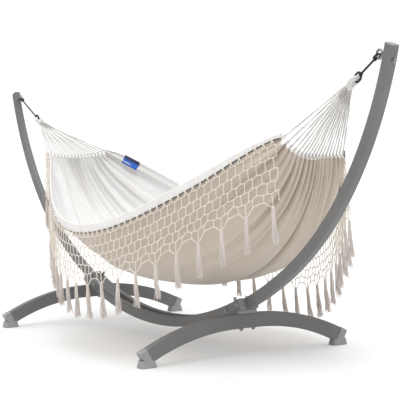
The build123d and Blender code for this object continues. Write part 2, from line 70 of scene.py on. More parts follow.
ahead = Vector((math.cos(CAMERA_PITCH) * math.cos(CAMERA_YAW),
                math.cos(CAMERA_PITCH) * math.sin(CAMERA_YAW), math.sin(CAMERA_PITCH)))
level = Vector((math.sin(CAMERA_YAW), -math.cos(CAMERA_YAW), 0))
upward = level.cross(ahead)
right = level * math.cos(CAMERA_ROLL) + upward * math.sin(CAMERA_ROLL)
above = upward * math.cos(CAMERA_ROLL) - level * math.sin(CAMERA_ROLL)
camera_data = bpy.data.cameras.new("camera")
camera_data.lens = LENS
camera_data.sensor_width = 36
camera_data.clip_end = 200
camera = bpy.data.objects.new("camera", camera_data)
bpy.context.scene.collection.objects.link(camera)
turn = Matrix((right, above, -ahead)).transposed()
camera.matrix_world = Matrix.Translation(CAMERA_AT) @ turn.to_4x4()
bpy.context.scene.camera = camera

# ---------------------------------------------------------------- sizes, as in the CAD, in metres

EYE_CENTRE = (1.91506, 1.34920)
APEX = {1: (1.705, 1.230), -1: (-1.575, 1.176)}
ROPE, ROPE_SHOWN = 0.008, 0.0090
KNOT = 0.017
TOP_LOOP, TOP_LOOP_WIDTH = 0.034, 0.027
LOW_LOOP, LOW_LOOP_WIDTH = 0.046, 0.033
LOOP_LINK = 0.028
WRAPPED_CORD = 0.022
WRAPPED_EYE_LENGTH = 0.056
WRAPPED_EYE_WIDTH = 0.054
WHIPPING_LENGTH = 0.022
WHIPPING_WIDTH = 0.036
CLEW_CORD = 0.004
CLEW_ROWS, CLEW_COLUMNS, CLEW_PITCH = 3, 6, 0.0054
CLEW_END_GAP = 0.0042

FLAT_WIDTH, FLAT_LENGTH = 1.42, 2.85
CLOTH_X = (-1.045, 1.440)
END_HALF = (0.197, 0.164)
FRONT_SPREAD, REAR_SPREAD = 0.440, 0.400
FRONT_END_Z, REAR_END_Z, KEEL_END_Z = (0.997, 1.044), (0.994, 0.962), (0.964, 0.948)
FRONT_SAG, REAR_SAG, KEEL_SAG = 0.386, 0.447, 0.650
SPREAD_POWER, RIM_SAG_POWER = 1.16, 1.38
KEEL_SAG_POWER, KEEL_END_SOFTNESS = 0.55, 0.04
SECTION_POWER = 2.6
RIM_LOW_AT, KEEL_LOW_AT = 0.56, 0.53
KEEL_Y = 0.095
CLOTH = 0.0016
HEM_WIDTH = 0.038
NET_OUT = 0.008
NET_DEPTH = 0.292
TASSEL_COUNT, TASSEL_INSET = 22, 0.022
TASSEL_LENGTH, TASSEL_TOP, TASSEL_FOOT = 0.158, 0.015, 0.034
LABEL_SIZE = (0.125, 0.052)
LABEL_AT, LABEL_DOWN, LABEL_LIFT = 0.090, 0.040, 0.0035


def dip(s, low_at, power, soft=0.0):
    t = np.asarray(s, float) ** (math.log(0.5) / math.log(low_at))
    hump = np.maximum(4 * t * (1 - t), 0.0)
    return ((hump + soft) ** power - soft**power) / ((1 + soft) ** power - soft**power)


def between(pair, s):
    return pair[0] + (pair[1] - pair[0]) * s


def rim_point(s, front):
    s = np.asarray(s, float)
    spread = np.where(front, FRONT_SPREAD, REAR_SPREAD)
    z_front = between(FRONT_END_Z, s) - FRONT_SAG * dip(s, RIM_LOW_AT, RIM_SAG_POWER)
    z_rear = between(REAR_END_Z, s) - REAR_SAG * dip(s, RIM_LOW_AT, RIM_SAG_POWER)
    half = between(END_HALF, s) + spread * dip(s, RIM_LOW_AT, SPREAD_POWER)
    return between(CLOTH_X, s), np.where(front, -half, half), np.where(front, z_front, z_rear)


def cloth_point(s, v):
    """A point of the hanging cloth; s runs from the left end to the right end, v from rim to rim."""
    s, v = np.broadcast_arrays(np.asarray(s, float), np.asarray(v, float))
    x, rim_y, rim_z = rim_point(s, v < 0)
    keel_y = KEEL_Y * dip(s, 0.5, 1.0)
    sag = KEEL_SAG * dip(s, KEEL_LOW_AT, KEEL_SAG_POWER, KEEL_END_SOFTNESS)
    keel_z = between(KEEL_END_Z, s) - sag
    y = keel_y + (rim_y - keel_y) * np.abs(v)
    z = keel_z + (rim_z - keel_z) * np.abs(v) ** SECTION_POWER
    return np.stack([x + 0 * y, y, z], axis=-1)


# ---------------------------------------------------------------- mesh helpers

def route(points, smooth=12):
    """Points along one smooth NURBS line with the given control points."""
    data = bpy.data.curves.new("route", "CURVE")
    data.dimensions = "3D"
    data.resolution_u = smooth
    spline = data.splines.new("NURBS")
    spline.points.add(len(points) - 1)
    for target, source in zip(spline.points, points):
        target.co = (*source, 1)
    spline.order_u = 3
    spline.use_endpoint_u = True
    holder = bpy.data.objects.new("route", data)
    mesh = bpy.data.meshes.new_from_object(holder)
    line = np.array([v.co for v in mesh.vertices], float)
    bpy.data.objects.remove(holder)
    bpy.data.meshes.remove(mesh)
    bpy.data.curves.remove(data)
    return line


def evenly(line, step):
    along = np.concatenate([[0], np.cumsum(np.linalg.norm(np.diff(line, axis=0), axis=1))])
    places = np.linspace(0, along[-1], max(2, math.ceil(along[-1] / step) + 1))
    return np.stack([np.interp(places, along, line[:, k]) for k in range(3)], axis=1)


def axes_along(path, closed):
    if closed:
        tangent = np.roll(path, -1, 0) - np.roll(path, 1, 0)
    else:
        tangent = np.gradient(path, axis=0)
    tangent = tangent / np.linalg.norm(tangent, axis=1)[:, None]
    guess = np.array((0, 0, 1.0)) if abs(tangent[0, 2]) < 0.9 else np.array((1.0, 0, 0))
    normal = np.cross(tangent[0], guess)
    normals = []
    for direction in tangent:
        normal = normal - direction * (normal @ direction)
        normal = normal / np.linalg.norm(normal)
        normals.append(normal)
    normals = np.array(normals)
    return normals, np.cross(tangent, normals)


def tube(path, radius, sides=8, closed=False, ridge=0.0, ridge_step=0.004):
    """Vertices, faces and UVs of a tube; ridge makes the turns of a wrapping show."""
    path = np.asarray(path, float)
    count = len(path)
    a, b = axes_along(path, closed)
    steps = np.linalg.norm(np.diff(path, axis=0), axis=1)
    along = np.concatenate([[0], np.cumsum(steps)])
    angle = np.arange(sides) * 2 * math.pi / sides
    r = np.broadcast_to(np.asarray(radius, float), (count,)).copy()
    if ridge:
        r *= 1 + ridge * (np.abs(np.sin(math.pi * along / ridge_step)) - 1)
    circle = np.cos(angle)[None, :, None] * a[:, None] + np.sin(angle)[None, :, None] * b[:, None]
    verts = (path[:, None] + circle * r[:, None, None]).reshape(-1, 3)
    faces, uvs = [], []
    total = along[-1] + (np.linalg.norm(path[0] - path[-1]) if closed else 0)
    reach = np.append(along, total)
    for k in range(count if closed else count - 1):
        first, second = k * sides, ((k + 1) % count) * sides
        for j in range(sides):
            after = (j + 1) % sides
            faces.append((first + j, first + after, second + after, second + j))
            low, high = j / sides, (j + 1) / sides
            uvs += [(reach[k], low), (reach[k], high), (reach[k + 1], high), (reach[k + 1], low)]
    if not closed:
        for ring, order in ((0, -1), (count - 1, 1)):
            faces.append(tuple(ring * sides + j for j in range(sides))[::order])
            uvs += [(reach[ring], j / sides) for j in range(sides)][::order]
    return verts, faces, uvs


def joined(name, parts, material, body="hammock", smooth=True):
    """One object from several lots of vertices, faces and UVs."""
    verts, faces, uvs, start = [], [], [], 0
    for part_verts, part_faces, part_uvs in parts:
        verts.append(np.asarray(part_verts, float))
        faces += [tuple(start + i for i in face) for face in part_faces]
        uvs += part_uvs
        start += len(part_verts)
    mesh = bpy.data.meshes.new(name)
    mesh.from_pydata(np.concatenate(verts).tolist(), [], faces)
    layer = mesh.uv_layers.new(name="UVMap")
    layer.data.foreach_set("uv", np.asarray(uvs, np.float32).ravel())
    if smooth:
        mesh.polygons.foreach_set("use_smooth", [True] * len(mesh.polygons))
    mesh.materials.append(material)
    piece = bpy.data.objects.new(name, mesh)
    bpy.context.scene.collection.objects.link(piece)
    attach(piece, body)
    return piece


def grid(points, u, v):
    """A sheet of quads through an array of points, with its UVs in metres."""
    rows, columns = points.shape[:2]
    faces, uvs = [], []
    for i in range(rows - 1):
        for j in range(columns - 1):
            corner = i * columns + j
            faces.append((corner, corner + columns, corner + columns + 1, corner + 1))
            uvs += [(u[i], v[j]), (u[i + 1], v[j]), (u[i + 1], v[j + 1]), (u[i], v[j + 1])]
    return points.reshape(-1, 3), faces, uvs


def oval(origin, along, across, length, width, count=40):
    """A closed oval in a plane, from its origin out along one axis."""
    radius, straight = width / 2, length - width
    first = np.asarray(origin) + np.asarray(along) * radius
    second = first + np.asarray(along) * straight
    line = []
    for k in range(count // 2):
        turned = math.pi * (k + 0.5) / (count // 2)
        turn_way = np.asarray(across) * math.cos(turned) + np.asarray(along) * math.sin(turned)
        line.append(second + radius * turn_way)
    for k in range(count // 2):
        turned = math.pi * (k + 0.5) / (count // 2)
        turn_way = np.asarray(across) * math.cos(turned) + np.asarray(along) * math.sin(turned)
        line.append(first - radius * turn_way)
    return np.array(line)


def coil(centre, axis, side, radius, turns, pitch, per_turn=14):
    """A short helix about an axis."""
    axis, side = np.asarray(axis, float), np.asarray(side, float)
    other = np.cross(axis, side)
    share = np.linspace(-0.5, 0.5, int(turns * per_turn) + 1)
    angle = share * turns * 2 * math.pi
    ring = np.cos(angle)[:, None] * side + np.sin(angle)[:, None] * other
    return np.asarray(centre) + radius * ring + (share * turns * pitch)[:, None] * axis


# ---------------------------------------------------------------- materials

class Shader:
    """A small helper that builds one procedural material."""

    def __init__(self, name, roughness, metallic=0.0, sheen=0.0):
        self.material = bpy.data.materials.new(name)
        self.material.use_nodes = True
        self.tree = self.material.node_tree
        self.principled = self.tree.nodes["Principled BSDF"]
        self.principled.inputs["Roughness"].default_value = roughness
        self.principled.inputs["Metallic"].default_value = metallic
        self.principled.inputs["Sheen Weight"].default_value = sheen
        self.principled.inputs["Sheen Roughness"].default_value = 0.5
        self.height = None
        self.coords = self.add("ShaderNodeTexCoord")

    def add(self, kind, **settings):
        node = self.tree.nodes.new(kind)
        for key, value in settings.items():
            setattr(node, key, value)
        return node

    def link(self, source, target):
        self.tree.links.new(source, target)

    def stretched(self, space, scale):
        mapping = self.add("ShaderNodeMapping")
        mapping.inputs["Scale"].default_value = scale
        self.link(self.coords.outputs[space], mapping.inputs["Vector"])
        return mapping.outputs["Vector"]

    def noise(self, space, scale, detail=2.0, size=(1, 1, 1)):
        node = self.add("ShaderNodeTexNoise")
        node.inputs["Scale"].default_value = scale
        node.inputs["Detail"].default_value = detail
        self.link(self.stretched(space, size), node.inputs["Vector"])
        return node.outputs["Fac"]

    def waves(self, space, scale, direction, size=(1, 1, 1)):
        node = self.add("ShaderNodeTexWave", wave_type="BANDS", bands_direction=direction)
        node.inputs["Scale"].default_value = scale
        self.link(self.stretched(space, size), node.inputs["Vector"])
        return node.outputs["Fac"]

    def math(self, operation, first, second):
        node = self.add("ShaderNodeMath", operation=operation)
        for socket, value in zip(node.inputs, (first, second)):
            if isinstance(value, (int, float)):
                socket.default_value = value
            else:
                self.link(value, socket)
        return node.outputs[0]

    def colours(self, factor, stops):
        ramp = self.add("ShaderNodeValToRGB")
        elements = ramp.color_ramp.elements
        while len(elements) < len(stops):
            elements.new(0.5)
        for element, (place, colour) in zip(elements, stops):
            element.position = place
            element.color = (*colour, 1)
        self.link(factor, ramp.inputs["Fac"])
        return ramp.outputs["Color"]

    def multiply(self, first, second, factor):
        mix = self.add("ShaderNodeMix", data_type="RGBA", blend_type="MULTIPLY")
        mix.inputs["Factor"].default_value = factor
        self.link(first, mix.inputs["A"])
        self.link(second, mix.inputs["B"])
        return mix.outputs["Result"]

    def colour(self, output):
        self.link(output, self.principled.inputs["Base Color"])

    def rough(self, factor, low, high):
        node = self.add("ShaderNodeMapRange")
        node.inputs["To Min"].default_value = low
        node.inputs["To Max"].default_value = high
        self.link(factor, node.inputs["Value"])
        self.link(node.outputs["Result"], self.principled.inputs["Roughness"])

    def bump(self, height, strength, distance):
        node = self.add("ShaderNodeBump")
        node.inputs["Strength"].default_value = strength
        node.inputs["Distance"].default_value = distance
        self.link(height, node.inputs["Height"])
        if self.height is not None:
            self.link(self.height, node.inputs["Normal"])
        self.height = node.outputs["Normal"]
        self.link(self.height, self.principled.inputs["Normal"])


def scaled(colour, factor):
    return tuple(min(1.0, c * factor) for c in colour)


def painted(name, colour, roughness, grain, relief):
    shader = Shader(name, roughness)
    broad = shader.noise("Object", 3.0, 4.0)
    tone = shader.colours(broad, [(0.25, scaled(colour, 0.90)), (0.75, scaled(colour, 1.09))])
    # Painted shade and highlight: pointiness darkens the concave hollows and lightens the sharp edges.
    hollow_shade_mask = shader.add("ShaderNodeNewGeometry").outputs["Pointiness"]
    hollow_shade_and_edge_highlight = shader.colours(hollow_shade_mask, [(0.48, (0.80, 0.80, 0.80)), (0.50, (0.93, 0.93, 0.93)), (0.56, (1, 1, 1))])
    shader.colour(shader.multiply(tone, hollow_shade_and_edge_highlight, 0.6))
    fine = shader.noise("Object", grain, 3.0)
    shader.rough(shader.noise("Object", 25.0, 5.0), roughness - 0.07, roughness + 0.09)
    shader.bump(fine, 0.25, relief)
    return shader.material


def plated(name, colour):
    shader = Shader(name, 0.38, metallic=1.0)
    mottled = shader.noise("Object", 160.0, 5.0)
    shader.colour(shader.colours(mottled, [(0.3, scaled(colour, 0.82)), (0.7, scaled(colour, 1.15))]))
    shader.rough(shader.noise("Object", 420.0, 4.0), 0.28, 0.52)
    shader.bump(shader.noise("Object", 900.0, 2.0, (1, 1, 6)), 0.2, 0.0004)
    return shader.material


def woven(name, colour, thread=0.0016, slub=0.05, relief=0.0005, crease=None):
    """Plain weave over UVs in metres: crossing threads, thicker here and there, with painted shade darkening
    the creases.
    """
    shader = Shader(name, 0.92, sheen=0.25)
    bands = 1.0 / thread / 20.0 * math.pi
    warp = shader.waves("UV", bands, "X")
    weft = shader.waves("UV", bands, "Y")
    weave = shader.math("ADD", shader.math("MULTIPLY", warp, weft), 0.0)
    slubs = shader.noise("UV", 1.0, 3.0, (14, 420, 1))
    cross = shader.noise("UV", 1.0, 3.0, (380, 12, 1))
    streaks = shader.math("MULTIPLY", shader.math("ADD", slubs, cross), 0.5)
    tone = shader.colours(streaks, [(0.30, scaled(colour, 1 - slub)), (0.70, scaled(colour, 1 + slub))])
    cloudy = shader.noise("UV", 5.0, 3.0)
    shade = shader.colours(cloudy, [(0.25, (0.93, 0.92, 0.90)), (0.70, (1, 1, 1))])
    tone = shader.multiply(tone, shade, 0.7)
    # Painted shade: the crease attribute darkens the colour in the fold valleys.
    if crease:
        crease_shade_depth = shader.add("ShaderNodeAttribute", attribute_name=crease).outputs["Fac"]
        crease_shade_colour = shader.colours(crease_shade_depth, [(0.0, (1, 1, 1)), (0.35, (0.93, 0.92, 0.91)),
                                      (1.0, (0.36, 0.32, 0.29))])
        tone = shader.multiply(tone, crease_shade_colour, 0.85)
    shader.colour(tone)
    shader.bump(weave, 0.35, relief)
    shader.bump(streaks, 0.5, relief * 1.6)
    return shader.material


def twisted(name, colour, strands=3, pitch=0.014, relief=0.0008, rough=0.9, sheen=0.2):
    """Laid cord: diagonal strands over a tube's UVs, with loose fibres."""
    shader = Shader(name, rough, sheen=sheen)
    split = shader.add("ShaderNodeSeparateXYZ")
    shader.link(shader.coords.outputs["UV"], split.inputs[0])
    climb = shader.math("MULTIPLY", split.outputs[0], strands / pitch)
    round_it = shader.math("MULTIPLY", split.outputs[1], float(strands))
    phase = shader.math("MULTIPLY", shader.math("ADD", climb, round_it), math.pi)
    lay = shader.math("ABSOLUTE", shader.math("SINE", phase, 0.0), 0.0)
    fibres = shader.noise("Object", 900.0, 3.0, (1, 1, 0.2))
    mixed = shader.math("ADD", shader.math("MULTIPLY", lay, 0.75), shader.math("MULTIPLY", fibres, 0.25))
    shader.colour(shader.colours(mixed, [(0.05, scaled(colour, 0.70)), (0.45, colour),
                                         (0.95, scaled(colour, 1.05))]))
    shader.bump(mixed, 0.8, relief)
    return shader.material


GREY_PAINT = (0.175, 0.175, 0.177)
CAP_GREY = (0.32, 0.325, 0.325)
ZINC = (0.34, 0.34, 0.35)
# One cotton as two copies: the outside is a darker, warmer painted-shade colour and the inside the paler lit
# colour.
COTTON_SHADED_OUTSIDE = (0.62, 0.545, 0.465)
COTTON_LIT_INSIDE = (0.74, 0.735, 0.73)
HEM_WHITE = (0.84, 0.83, 0.82)
CORD_CREAM = (0.66, 0.64, 0.61)
ROPE_BLACK = (0.005, 0.005, 0.006)
NAVY = (0.006, 0.016, 0.075)
BLUE = (0.004, 0.115, 0.56)

paint = painted("powder_coat", GREY_PAINT, 0.46, 700.0, 0.0005)
plastic = painted("cap_plastic", CAP_GREY, 0.52, 1400.0, 0.0003)
steel = plated("zinc_steel", ZINC)
cloth_outside_shaded = woven("cotton_outside_shaded", COTTON_SHADED_OUTSIDE, crease="crease_shade_out")
cloth_inside_lit = woven("cotton_inside_lit", COTTON_LIT_INSIDE, crease="crease_shade_in")
hem_cotton = woven("hem_cotton", HEM_WHITE, thread=0.0013, slub=0.03)
thread_white = twisted("stitching", (0.78, 0.75, 0.69), 2, 0.004, 0.0002)
clew_cotton = twisted("clew_cotton", CORD_CREAM, 3, 0.012)
fringe_cotton = twisted("fringe_cotton", (0.86, 0.79, 0.70), 3, 0.012)
# A dark grey cord that stands for a painted shadow line under the hems.
shadow_cord_grey = twisted("painted_shadow_cord", (0.085, 0.085, 0.085), 3, 0.010)
strand_cotton = twisted("tassel_cotton", (0.74, 0.68, 0.64), 2, 0.010, 0.0004)
wrap_cotton = woven("wrapped_cotton", (0.72, 0.715, 0.70), thread=0.0022, slub=0.03)
rope_black = twisted("black_rope", ROPE_BLACK, 8, 0.022, 0.0007, rough=0.62, sheen=0.05)

by_slot = {"powder_coat": paint, "cap_plastic": plastic, "zinc_steel": steel}
slot_of = {part["node"]: part["material_slot"] for part in frame["record"]["subparts"]}
for name, node in nodes.items():
    finish = by_slot.get(slot_of.get(name))
    if finish is None:
        continue
    if not node.material_slots:
        node.data.materials.append(finish)
    for place in node.material_slots:
        place.material = finish


def label_material():
    shader = Shader("label_weave", 0.55, sheen=0.15)
    split = shader.add("ShaderNodeSeparateXYZ")
    shader.link(shader.coords.outputs["UV"], split.inputs[0])
    shader.colour(shader.colours(split.outputs[1], [(0.60, BLUE), (0.62, NAVY)]))
    ribs = shader.waves("UV", 1.0, "DIAGONAL", (60, 26, 1))
    shader.bump(ribs, 0.4, 0.0004)
    return shader.material


# ---------------------------------------------------------------- ropes, wrapped eyes and clew cords

def pull_line(side):
    start = np.array((side * EYE_CENTRE[0], 0, EYE_CENTRE[1]))
    end = np.array((APEX[side][0], 0, APEX[side][1]))
    length = np.linalg.norm(end - start)
    return start, end, (end - start) / length, length


def knot_parts(centre, way, across):
    """A small tied knot: two turns round the rope and a tuck across them."""
    up = np.cross(way, across)
    turns = coil(centre, way, across, 0.0052, 2.2, 0.0062)
    tuck = [centre - way * 0.0075 + up * 0.003, centre - way * 0.002 + up * 0.0078,
            centre + way * 0.004 + up * 0.0062, centre + way * 0.0085]
    core = evenly(route([centre - way * 0.008, centre, centre + way * 0.008]), 0.002)
    return [tube(turns, 0.0034, 10), tube(evenly(route(tuck), 0.0015), 0.0032, 10), tube(core, 0.0040, 10)]


Y = np.array((0.0, 1.0, 0.0))
for side, name in ((1, "right"), (-1, "left")):
    start, end, way, length = pull_line(side)
    crown = length - WHIPPING_LENGTH - WRAPPED_EYE_LENGTH
    run_end = crown + LOOP_LINK - LOW_LOOP
    up = np.cross(way, Y * side)
    first, last = start + way * (TOP_LOOP + KNOT / 2), start + way * (run_end - KNOT / 2)
    line = evenly(route([first, (first + last) / 2, last]), 0.0025)
    rope = joined("rope_run_" + name, [tube(line, ROPE_SHOWN / 2, 14)], rope_black)
    knots = joined("rope_knot_pair_" + name, knot_parts(start + way * TOP_LOOP, way, Y)
                   + knot_parts(start + way * run_end, way, up), rope_black)
    top_loop = oval(start, way, Y, TOP_LOOP, TOP_LOOP_WIDTH)
    low_loop = oval(start + way * run_end, way, up, LOW_LOOP, LOW_LOOP_WIDTH)
    loops = joined("rope_loop_pair_" + name, [tube(top_loop, ROPE_SHOWN / 2, 14, closed=True),
                                              tube(low_loop, ROPE_SHOWN / 2, 14, closed=True)], rope_black)
    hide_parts("rope_" + name)
    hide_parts("rope_knots_" + name)
    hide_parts("rope_loops_" + name)

    # wrapped eye: a bound bundle bent round, its legs held by a whipping
    bend = oval(start + way * (crown + WRAPPED_CORD / 2), way, Y, WRAPPED_EYE_LENGTH - WRAPPED_CORD / 2,
                WRAPPED_EYE_WIDTH - WRAPPED_CORD, 120)
    bound = tube(bend, WRAPPED_CORD / 2 * 1.02, 20, closed=True, ridge=0.10, ridge_step=0.0035)
    neck = evenly(np.array([end - way * (WHIPPING_LENGTH + 0.004), end + way * 0.004]), 0.0007)
    share = np.linspace(0, 1, len(neck))
    waist = WHIPPING_WIDTH / 2 * (0.86 + 0.14 * np.sin(math.pi * np.clip(share * 1.15, 0, 1)))
    whipping = tube(neck, waist, 28, ridge=0.10, ridge_step=0.0036)
    eye = joined("wrapped_bundle_" + name, [bound, whipping], wrap_cotton)
    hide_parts("wrapped_eye_" + name)

    # clew cords: pairs of strings, each pair twisted loosely on itself
    knots_here = []
    s_end = 1.0 if side > 0 else 0.0
    index = 0
    for column in range(CLEW_COLUMNS):
        for row in range(CLEW_ROWS):
            across = (column - (CLEW_COLUMNS - 1) / 2) * CLEW_PITCH
            raised = (row - (CLEW_ROWS - 1) / 2) * CLEW_PITCH
            begin = end + way * CLEW_CORD / 2 + Y * across + up * raised
            v = -1 + 2 * (index + 0.5) / (CLEW_ROWS * CLEW_COLUMNS)
            finish = cloth_point(s_end, v) + np.array((side * CLEW_END_GAP, 0, 0))
            middle = (begin + finish) / 2 - np.array((0, 0, 0.0025))
            line = evenly(route([begin, middle, finish]), 0.004)
            binormal, normal = axes_along(line, False)
            travelled = np.linspace(0, 1, len(line))
            spin = travelled * 2 * math.pi * (0.8 + 0.3 * (index % 3)) + index
            twist = np.cos(spin)[:, None] * normal + np.sin(spin)[:, None] * binormal
            apart = (0.0014 + 0.0002 * np.sin(math.pi * travelled) ** 2)[:, None]
            plies = [tube(line + twist * apart, 0.00165, 8), tube(line - twist * apart, 0.00165, 8)]
            string = joined("clew_%s_%02d" % (name, index), plies, clew_cotton)
            if index == 0:
                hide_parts("clew_cords_" + name)
            pull = (finish - begin) / np.linalg.norm(finish - begin)
            sideways = np.cross(pull, (0, 0, 1.0))
            sideways /= np.linalg.norm(sideways)
            eyelet = oval(finish - pull * 0.010, pull, np.cross(sideways, pull), 0.020, 0.010, 20)
            knots_here.append(tube(eyelet, 0.0016, 6, closed=True))
            ball = finish - pull * 0.012
            lump = np.array([ball + pull * step for step in (-0.005, -0.003, 0.003, 0.005)])
            knots_here.append(tube(lump, np.array((0.0015, 0.0034, 0.0034, 0.0015)), 8))
            index += 1
    ties = joined("clew_knots_" + name, knots_here, clew_cotton)

# ---------------------------------------------------------------- cloth

PLEATS = CLEW_ROWS * CLEW_COLUMNS
ROWS, COLUMNS = 281, 289


def folds(s, v):
    """How far the cloth stands out of its smooth shape: deep gathers at the ends that run out, and a painted
    shade mask that is dark in the fold valleys.
    """
    across = (v + 1) / 2
    edge = np.clip((1 - np.abs(v)) / 0.07, 0, 1)
    edge = edge * edge * (3 - 2 * edge)
    out = np.zeros(np.broadcast(s, v).shape)
    crease_shade_mask = out.copy()
    for end, seed in ((0, 3), (1, 8)):
        away = s if end == 0 else 1 - s
        wobble = random.Random(seed)
        gather = 0.5 - 0.5 * np.cos(2 * math.pi * (PLEATS * across - 0.5))
        uneven = 1 + 0.35 * np.sin(2 * math.pi * (2.3 * across + wobble.random()))
        out = out + 0.026 * gather * uneven * np.exp(-away / 0.070)
        # Painted shade between the gathers at each end.
        crease_shade_mask = crease_shade_mask + (0.5 - gather) * 1.5 * np.exp(-away / 0.045)
        for count, height, fade in ((11, 0.0115, 0.16), (7, 0.0135, 0.26), (4.3, 0.0110, 0.46)):
            drift = 0.5 * np.sin(2 * math.pi * (0.6 * away + wobble.random())) * away
            phase = 2 * math.pi * (count * (across + 0.10 * drift) + wobble.random())
            wave = 2 * np.abs(np.sin(phase / 2)) ** 0.65 - 1.15 + 0.25 * np.sin(1.7 * phase)
            grown = 1 - np.exp(-away / 0.035)
            local = 1 + 0.5 * np.sin(2 * math.pi * (1.7 * across + wobble.random()))
            out = out + height * wave * local * grown * np.exp(-away / fade)
            # Painted shade mask along the narrow valley of each fold.
            valley_shade = np.exp(-(np.abs(np.sin(phase / 2)) / 0.16) ** 1.2)
            crease_shade_mask = crease_shade_mask + 0.75 * valley_shade * np.clip(local - 0.2, 0, 1) * grown * np.exp(-away / fade)
    return out * edge, crease_shade_mask * edge


def outward_of(points):
    du = np.gradient(points, axis=0)
    dv = np.gradient(points, axis=1)
    normal = np.cross(dv, du)
    return normal / np.maximum(np.linalg.norm(normal, axis=-1, keepdims=True), 1e-9)


stations = 0.5 - 0.5 * np.cos(math.pi * (0.06 + 0.88 * np.linspace(0, 1, ROWS)))
stations = (stations - stations[0]) / (stations[-1] - stations[0])
shares = np.linspace(-1, 1, COLUMNS)
S, V = np.meshgrid(stations, shares, indexing="ij")
smooth_cloth = cloth_point(S, V)
outward = outward_of(smooth_cloth)
if outward[ROWS // 2, COLUMNS // 2, 2] > 0:
    outward = -outward
stands_out, crease_shade_mask = folds(S, V)
cloth_points = smooth_cloth + outward * stands_out[..., None]
scallop = 0.5 - 0.5 * np.cos(2 * math.pi * (PLEATS * (V + 1) / 2 - 0.5))
drawn = 0.016 * scallop * (np.exp(-S / 0.012) - np.exp(-(1 - S) / 0.012))
cloth_points[..., 0] += drawn
weave_sheet = grid(cloth_points, stations * FLAT_LENGTH, (shares + 1) / 2 * FLAT_WIDTH)
# The inside faces take the lit cotton and the outside faces the painted-shade cotton, through the thickness
# modifier's material offset.
cloth = joined("cloth", [weave_sheet], cloth_inside_lit)
cloth.data.materials.append(cloth_outside_shaded)
# The painted crease shade is stored on the cloth as attributes that its two materials darken by.
for mark, crease_shade_depth in (("crease_shade_out", np.clip(crease_shade_mask, 0, 1)), ("crease_shade_in", np.clip(crease_shade_mask * 0.8, 0, 1))):
    layer = cloth.data.attributes.new(mark, "FLOAT", "POINT")
    layer.data.foreach_set("value", crease_shade_depth.astype(np.float32).ravel())
thick = cloth.modifiers.new("thickness", "SOLIDIFY")
thick.thickness = CLOTH
thick.offset = 0
thick.use_even_offset = False
thick.material_offset = 1
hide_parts("hammock_cloth")

# rolled edge at each gathered end
rolls = []
for row in (1, ROWS - 2):
    rolls.append(tube(evenly(cloth_points[row], 0.003), 0.0030, 8))
end_rolls = joined("end_rolls", rolls, hem_cotton)

# ---------------------------------------------------------------- hems, with their stitching

HEM_SECTION = [(0.0034, 0.0370), (0.0038, 0.0300), (0.0034, 0.0200), (0.0036, 0.0100), (0.0036, 0.0020),
               (0.0024, -0.0014), (0.0000, -0.0026), (-0.0024, -0.0012), (-0.0034, 0.0030), (-0.0062, 0.0100),
               (-0.0056, 0.0108), (-0.0024, 0.0060), (0.0012, 0.0060), (0.0018, 0.0200), (0.0018, 0.0370),
               (0.0026, 0.0385)]


def rim_line(front, count):
    s = np.linspace(0, 1, count)
    line = np.stack(rim_point(s, front), axis=-1)
    along = np.concatenate([[0], np.cumsum(np.linalg.norm(np.diff(line, axis=0), axis=1))])
    return s, line, along


def hem_width(share):
    """The hem turns in towards the gathered ends, so less of it shows there."""
    t = np.clip(np.minimum(share, 1 - np.asarray(share, float)) / 0.17, 0, 1)
    return HEM_WIDTH * (0.40 + 0.60 * t * t * (3 - 2 * t))


hems, stitches = {}, {}
for name, front in (("front", True), ("rear", False)):
    away = -1.0 if front else 1.0
    s, line, along = rim_line(front, 361)
    ripple = 0.0007 * np.sin(along * 61) + 0.0006 * np.sin(along * 143 + 1)
    rings = []
    for out, drop in HEM_SECTION:
        lean = ripple * drop / HEM_WIDTH * 2
        fall = drop * hem_width(along / along[-1]) / HEM_WIDTH if drop > 0 else drop + 0 * along
        rings.append(line + np.stack([0 * along, away * (out + lean), -fall], axis=-1))
    rings.append(rings[0])
    points = np.stack(rings, axis=1)
    if not front:
        points = points[:, ::-1]
    around = np.concatenate([[0], np.cumsum(np.linalg.norm(np.diff(points[0], axis=0), axis=1))])
    strip = grid(points, along, around)
    hems[name] = joined("rim_band_" + name, [strip], hem_cotton)
    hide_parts("hem_" + name)
    runs = []
    for drop in (0.0065, 0.0335):
        at = 0.004
        while at < along[-1] - 0.008:
            pair = []
            for place in (at, at + 0.0045):
                x, y, z = (float(np.interp(place, along, line[:, k])) for k in range(3))
                bulge = float(np.interp(place, along, ripple)) * drop / HEM_WIDTH * 2
                shown = drop * float(hem_width(place / along[-1])) / HEM_WIDTH
                pair.append((x, y + away * (0.0037 + bulge), z - shown))
            runs.append(tube(np.array(pair), 0.0005, 4))
            at += 0.0085
    stitches[name] = joined("rim_stitching_" + name, runs, thread_white)

# ---------------------------------------------------------------- knotted nets and tassels

CELLS_PER_TASSEL = 3
NET_COLUMNS = CELLS_PER_TASSEL * TASSEL_COUNT
NET_ROWS = 6
TASSEL_LOCKS = 22
GOLDEN_ANGLE = 2.39996
NET_CORD = 0.0044
RIM_STEPS = 801
FIRST_ROW = 0.020
WAVE = 0.0065
END_LEAN = 0.045


def heading_drop(share):
    return float(hem_width(share)) + 0.0025


def row_drop(row, share):
    """How far below the rim a row of the net hangs."""
    first = heading_drop(share) + FIRST_ROW
    return first + (NET_DEPTH - 0.004 - first) * (row - 1) / (NET_ROWS - 1)


def net_share(column):
    """Share of the rim's length at a net column; tassels hang at columns 1, 4, 7 and on."""
    return TASSEL_INSET + (1 - 2 * TASSEL_INSET) * (column - 1) / (NET_COLUMNS - CELLS_PER_TASSEL)


def tassel_by(column):
    return CELLS_PER_TASSEL * round((column - 1) / CELLS_PER_TASSEL) + 1


